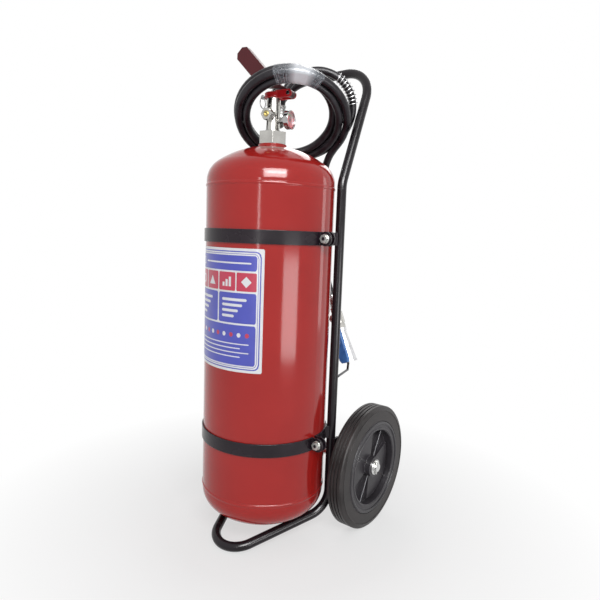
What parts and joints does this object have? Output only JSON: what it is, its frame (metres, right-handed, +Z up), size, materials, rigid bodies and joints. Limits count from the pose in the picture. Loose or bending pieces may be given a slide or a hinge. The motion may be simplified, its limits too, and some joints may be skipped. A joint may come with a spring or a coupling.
{
  "type": "wheeled fire extinguisher",
  "caption": "Red pressure vessel strapped to a two-wheeled tube trolley, with a lever valve, gauge, coiled discharge hose and a nozzle with its own shut-off lever.",
  "frame": {"origin": "on the floor under the middle of the bounding box, measured without the hose", "axes": "+Z up the vessel, the label and foot towards -Y, the wheels and handle towards +Y, the axle along X"},
  "size_m": [0.444, 0.4986, 1.1677],
  "materials": {
    "vessel_red": "gloss",
    "neck_red": "gloss",
    "label_print": "semi-gloss printed film",
    "siphon_plastic": "plain",
    "seal_rubber": "plain",
    "frame_black": "semi-gloss powder coat",
    "band_black": "semi-gloss",
    "zinc": "zinc plated",
    "axle_steel": "bright drawn",
    "tyre_rubber": "worn black",
    "rim_plastic": "moulded black",
    "bush_bronze": "sintered bronze",
    "valve_nickel": "nickel plated",
    "cap_red": "gloss",
    "stem_steel": "polished",
    "spring_steel": "bright wire",
    "plug_brass": "turned",
    "ferrule_steel": "crimped, zinc plated",
    "lever_red": "satin",
    "gauge_chrome": "polished",
    "dial_print": "printed",
    "needle_black": "matt",
    "lens_glass": "clear",
    "hose_rubber": "glossy cover",
    "tape_clear": "clear film",
    "grip_blue": "dipped sleeve",
    "horn_aluminium": "satin"
  },
  "bodies": {
    "trolley": {"cylinder_shell": "vessel_red", "neck_ring": "neck_red", "label": "label_print", "siphon_tube": "siphon_plastic", "neck_seal": "seal_rubber", "pole_left": "frame_black", "pole_right": "frame_black", "handle_bow": "frame_black", "foot_side_left": "frame_black", "foot_side_right": "frame_black", "foot_bow": "frame_black", "cradle_upper": "band_black", "cradle_lower": "band_black", "strap_upper": "band_black", "strap_lower": "band_black", "clamp_bolts": "zinc", "clamp_nuts": "zinc", "axle": "axle_steel", "axle_bracket_left": "frame_black", "axle_bracket_right": "frame_black", "axle_spacers": "zinc", "axle_washers": "zinc", "split_pins": "zinc", "valve_body": "valve_nickel", "valve_cap": "cap_red", "valve_spring": "spring_steel", "port_plug": "plug_brass", "outlet_nut": "valve_nickel", "outlet_elbow": "valve_nickel", "outlet_ferrule": "ferrule_steel", "lever_pin": "stem_steel", "gauge_case": "gauge_chrome", "gauge_dial": "dial_print", "gauge_lens": "lens_glass", "hose_lead": "hose_rubber", "hose_coil": "hose_rubber", "hose_tail": "hose_rubber", "hose_guard": "spring_steel", "coil_tape": "tape_clear", "nozzle_ferrule": "ferrule_steel", "nozzle_valve": "valve_nickel", "nozzle_horn": "horn_aluminium", "nozzle_hook": "frame_black"},
    "wheel_left": {"tyre_left": "tyre_rubber", "rim_left": "rim_plastic", "bush_left": "bush_bronze"},
    "wheel_right": {"tyre_right": "tyre_rubber", "rim_right": "rim_plastic", "bush_right": "bush_bronze"},
    "lever": {"lever": "lever_red"},
    "stem": {"valve_stem": "stem_steel"},
    "safety_pin": {"safety_pin": "stem_steel"},
    "pull_ring": {"pull_ring": "spring_steel"},
    "needle": {"gauge_needle": "needle_black"},
    "shutoff_lever": {"nozzle_ball": "gauge_chrome", "nozzle_lever": "zinc", "nozzle_grip": "grip_blue", "nozzle_lever_nut": "zinc"}
  },
  "joints": [
    {"name": "wheel_left_spin", "type": "hinge", "parent": "trolley", "child": "wheel_left", "pos_m": [-0.1895, 0.09335, 0.156], "axis": [1, 0, 0], "continuous": true},
    {"name": "wheel_right_spin", "type": "hinge", "parent": "trolley", "child": "wheel_right", "pos_m": [0.1895, 0.09335, 0.156], "axis": [1, 0, 0], "continuous": true},
    {"name": "lever_press", "type": "hinge", "parent": "trolley", "child": "lever", "pos_m": [0.04319, -0.08765, 1.05419], "axis": [0.1908, -0.9816, 0], "range_deg": [0, 12], "stiffness_Nm_per_rad": 6, "springref_deg": -6.88},
    {"name": "stem_slide", "type": "slide", "parent": "trolley", "child": "stem", "axis": [0, 0, -1], "range_m": [0, 0.0092], "deforming": ["valve_spring"]},
    {"name": "safety_pin_slide", "type": "slide", "parent": "trolley", "child": "safety_pin", "axis": [-0.9816, -0.1908, 0], "range_m": [0, 0.045]},
    {"name": "pull_ring_swing", "type": "hinge", "parent": "safety_pin", "child": "pull_ring", "pos_m": [-0.02847, -0.10158, 1.05224], "axis": [0.1908, -0.9816, 0], "range_deg": [-60, 10]},
    {"name": "gauge_needle_turn", "type": "hinge", "parent": "trolley", "child": "needle", "pos_m": [0.04221, -0.08785, 0.99719], "axis": [0.9816, 0.1908, 0], "range_deg": [-100, 100], "stiffness_Nm_per_rad": 0.002},
    {"name": "shutoff_turn", "type": "hinge", "parent": "trolley", "child": "shutoff_lever", "pos_m": [0.06978, 0.10895, 0.52287], "axis": [0, -1, 0], "range_deg": [0, 90]}
  ],
  "couplings": [
    {"joint": "stem_slide", "follows": "lever_press", "m_per_rad": 0.0435}
  ]
}
